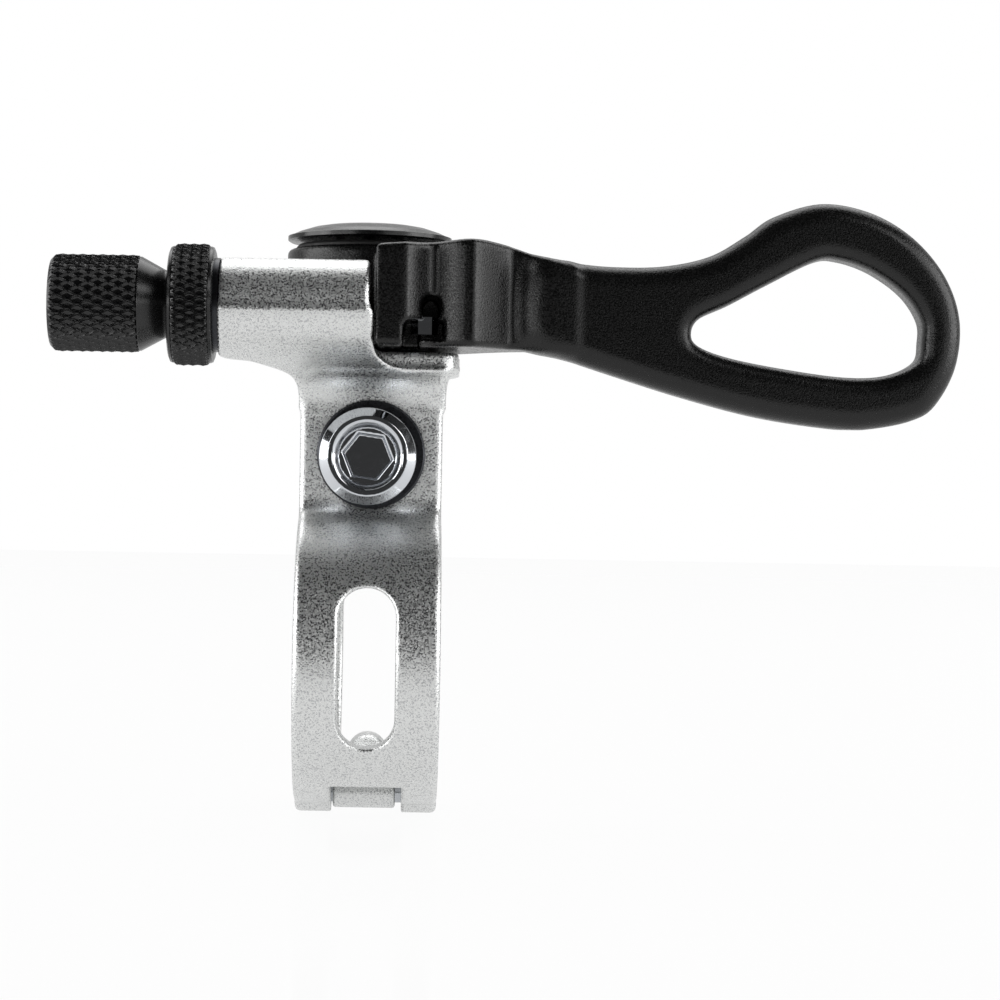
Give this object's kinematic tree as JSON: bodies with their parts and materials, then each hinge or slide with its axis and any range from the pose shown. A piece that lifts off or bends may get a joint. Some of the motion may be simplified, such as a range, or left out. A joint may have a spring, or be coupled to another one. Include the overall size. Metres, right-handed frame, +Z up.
{
  "type": "dropper post remote lever",
  "caption": "Handlebar-mounted thumb lever on a pivot plate with a barrel cable adjuster, open thumb loop and hinged bar clamp.",
  "frame": {"origin": "middle of the handlebar bore", "axes": "+X along the handlebar towards the thumb loop, -Y towards the rider, +Z up through the clamp bolt and lever"},
  "size_m": [0.0892, 0.0313, 0.061],
  "materials": {
    "silver_casting": "bead-blasted satin",
    "black_coating": "fine textured satin",
    "black_anodised": "satin anodised",
    "polished_steel": "polished",
    "black_steel": "black oxide",
    "bearing_steel": "ground",
    "seal_rubber": "matt"
  },
  "bodies": {
    "mount": {"housing": "silver_casting", "hinge_pin": "bearing_steel", "clamp_washer": "black_steel", "lock_washer": "black_steel", "thrust_washer": "bearing_steel", "inner_race_lower": "bearing_steel", "inner_spacer": "bearing_steel", "inner_race_upper": "bearing_steel", "pivot_cap": "black_anodised", "pivot_bolt": "black_steel", "return_spring": "bearing_steel"},
    "thumb_lever": {"lever": "black_coating", "cable_clamp_screw": "polished_steel", "outer_race_lower": "bearing_steel", "outer_race_upper": "bearing_steel", "outer_spacer": "bearing_steel", "balls_lower": "bearing_steel", "balls_upper": "bearing_steel", "dust_seal": "seal_rubber"},
    "strap": {"clamp_strap": "silver_casting"},
    "bolt": {"clamp_bolt": "polished_steel"},
    "nut": {"lock_nut": "black_anodised"},
    "adjuster": {"barrel_adjuster": "black_anodised"}
  },
  "joints": [
    {"name": "lever_pivot", "type": "hinge", "parent": "mount", "child": "thumb_lever", "pos_m": [-0.0006, 0.0074, 0.036], "axis": [0, 0, 1], "range_deg": [0, 28], "stiffness_Nm_per_rad": 0.02, "springref_deg": -28.65},
    {"name": "strap_hinge", "type": "hinge", "parent": "mount", "child": "strap", "pos_m": [0, 0, -0.0135], "axis": [-1, 0, 0], "range_deg": [0, 50]},
    {"name": "bolt_out", "type": "slide", "parent": "mount", "child": "bolt", "axis": [0, -1, 0], "range_m": [0, 0.0315]},
    {"name": "adjuster_out", "type": "slide", "parent": "mount", "child": "nut", "axis": [-1, 0, 0], "range_m": [0, 0.0032]},
    {"name": "adjuster_turn", "type": "hinge", "parent": "nut", "child": "adjuster", "pos_m": [-0.01985, -0.006, 0.03448], "axis": [-1, 0, 0], "range_deg": [0, 1440]}
  ],
  "couplings": [
    {"joint": "bolt_out", "follows": "strap_hinge", "m_per_rad": 0.036},
    {"joint": "adjuster_turn", "follows": "adjuster_out", "rad_per_m": 7853.9}
  ]
}
